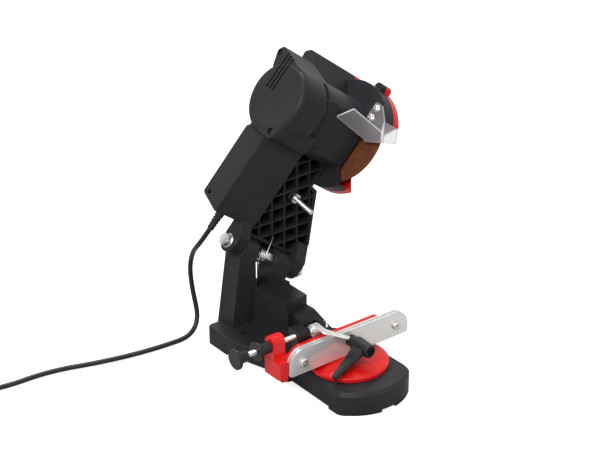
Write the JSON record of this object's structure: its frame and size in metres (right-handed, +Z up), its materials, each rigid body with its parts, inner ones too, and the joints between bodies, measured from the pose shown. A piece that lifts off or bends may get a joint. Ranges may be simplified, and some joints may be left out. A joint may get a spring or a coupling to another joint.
{
  "type": "chain saw bench grinder",
  "caption": "Electric bench grinder for saw chains: tilting motor head with guarded grinding wheel and clear visor on a swing arm over a swivelling chain vise on a moulded base.",
  "frame": {"origin": "on the bench surface, midway between the four bench-bolt holes", "axes": "+X to the operator's right, +Y to the back, +Z up"},
  "size_m": [0.5375, 0.433, 0.3208],
  "materials": {
    "black_plastic": "fine moulded texture",
    "red_plastic": "satin moulded",
    "zinc_steel": "zinc plated",
    "bright_steel": "ground",
    "spring_wire": "drawn wire",
    "black_screw": "black oxide",
    "switch_plastic": "gloss",
    "laminations": "stacked sheet",
    "copper_wire": "enamelled",
    "copper_bar": "turned",
    "brass": "pressed",
    "carbon": "sintered",
    "fan_plastic": "moulded",
    "abrasive": "bonded grit",
    "clear_plastic": "clear sheet",
    "nickel": "nickel plated",
    "knob_plastic": "satin moulded",
    "plated_steel": "bright plated sheet",
    "lever_plastic": "satin moulded",
    "carriage_plastic": "moulded",
    "cord_jacket": "extruded",
    "tie_plastic": "flat strap"
  },
  "bodies": {
    "base": {"base": "black_plastic", "pivot_bolt": "zinc_steel", "pivot_washers": "zinc_steel", "pivot_nuts": "zinc_steel", "spring_sleeve": "bright_steel", "lift_spring": "spring_wire", "cord_free": "cord_jacket", "cord_coil": "cord_jacket", "cord_tie": "tie_plastic", "plug_body": "cord_jacket", "plug_pins": "nickel"},
    "head": {"head_body": "black_plastic", "end_cap": "black_plastic", "cap_screws": "black_screw", "box_cover": "black_plastic", "cover_screws": "black_screw", "switch_body": "switch_plastic", "stator": "laminations", "field_coils": "copper_wire", "bearings": "bright_steel", "brush_holders": "brass", "brushes": "carbon", "guard_shell": "black_plastic", "guard_cover": "red_plastic", "guard_screws": "black_screw", "visor": "clear_plastic", "visor_screws": "nickel", "visor_nuts": "nickel", "depth_lock_nut": "zinc_steel", "strain_relief": "cord_jacket"},
    "rotor": {"spindle": "bright_steel", "armature": "laminations", "armature_winding": "copper_wire", "commutator": "copper_bar", "fan": "fan_plastic", "wheel": "abrasive", "inner_flange": "zinc_steel", "outer_flange": "zinc_steel", "wheel_nut": "zinc_steel"},
    "switch": {"rocker": "switch_plastic"},
    "depth_stop": {"depth_screw": "nickel"},
    "depth_knob": {"depth_knob": "knob_plastic"},
    "table": {"turntable": "red_plastic", "rear_jaw": "plated_steel", "jaw_screws": "nickel", "clamp_stud": "zinc_steel", "vise_nuts": "zinc_steel", "table_stud": "zinc_steel"},
    "front_jaw": {"front_jaw": "plated_steel"},
    "clamp": {"clamp_lever": "lever_plastic", "lever_screw": "black_screw"},
    "table_lock": {"lock_knob": "knob_plastic"},
    "carriage": {"stop_carriage": "carriage_plastic", "pawl_bolt": "zinc_steel", "pawl_nut": "zinc_steel"},
    "adjuster": {"adjust_screw": "zinc_steel", "adjust_knob": "knob_plastic"},
    "stop_lock": {"stop_lock_nut": "knob_plastic"},
    "pawl": {"pawl": "plated_steel"}
  },
  "joints": [
    {"name": "head_swing", "type": "hinge", "parent": "base", "child": "head", "pos_m": [0.01349, 0.06629, 0.08143], "axis": [0.8192, 0, -0.5736], "range_deg": [0, 70], "stiffness_Nm_per_rad": 0.9, "springref_deg": -40.11, "deforming": ["lift_spring", "cord_free"]},
    {"name": "wheel_spin", "type": "hinge", "parent": "head", "child": "rotor", "pos_m": [0.1045, 0.0505, 0.2114], "axis": [0.8192, 0, -0.5736], "continuous": true},
    {"name": "table_turn", "type": "hinge", "parent": "base", "child": "table", "pos_m": [0, -0.085, 0.025], "axis": [0, 0, 1], "range_deg": [-35, 35]},
    {"name": "clamp_turn", "type": "hinge", "parent": "table", "child": "clamp", "pos_m": [0, -0.105, 0.053], "axis": [0, 1, 0], "range_deg": [0, 36.1]},
    {"name": "jaw_close", "type": "slide", "parent": "table", "child": "front_jaw", "axis": [0, 1, 0], "range_m": [-0.0002, 0]},
    {"name": "carriage_slide", "type": "slide", "parent": "table", "child": "carriage", "axis": [1, 0, 0], "range_m": [-0.003, 0.003]},
    {"name": "adjust_turn", "type": "hinge", "parent": "carriage", "child": "adjuster", "pos_m": [-0.09, -0.069, 0.0685], "axis": [1, 0, 0], "range_deg": [-1081, 1081]},
    {"name": "stop_lock_turn", "type": "hinge", "parent": "table", "child": "stop_lock", "pos_m": [-0.098, -0.069, 0.0685], "axis": [1, 0, 0], "range_deg": [-90, 90]},
    {"name": "pawl_lift", "type": "hinge", "parent": "carriage", "child": "pawl", "pos_m": [-0.032, -0.069, 0.0685], "axis": [-1, 0, 0], "range_deg": [0, 45]},
    {"name": "table_lock_turn", "type": "hinge", "parent": "table", "child": "table_lock", "pos_m": [0, -0.085, 0.006], "axis": [0, 0, 1], "range_deg": [-90, 90]},
    {"name": "depth_slide", "type": "slide", "parent": "head", "child": "depth_stop", "axis": [-0.0996, -0.9848, -0.1422], "range_m": [-0.006, 0.01]},
    {"name": "depth_turn", "type": "hinge", "parent": "depth_stop", "child": "depth_knob", "pos_m": [0.04057, 0.0967, 0.16124], "axis": [-0.0996, -0.9848, -0.1422], "range_deg": [-2165, 3605]},
    {"name": "switch_rock", "type": "hinge", "parent": "head", "child": "switch", "pos_m": [-0.00432, 0.0832, 0.19547], "axis": [-0.8192, 0, 0.5736], "range_deg": [0, 18]}
  ],
  "couplings": [
    {"joint": "clamp_turn", "follows": "jaw_close", "rad_per_m": -3141.6},
    {"joint": "adjust_turn", "follows": "carriage_slide", "rad_per_m": 6283.2},
    {"joint": "depth_turn", "follows": "depth_slide", "rad_per_m": 6283.2}
  ]
}
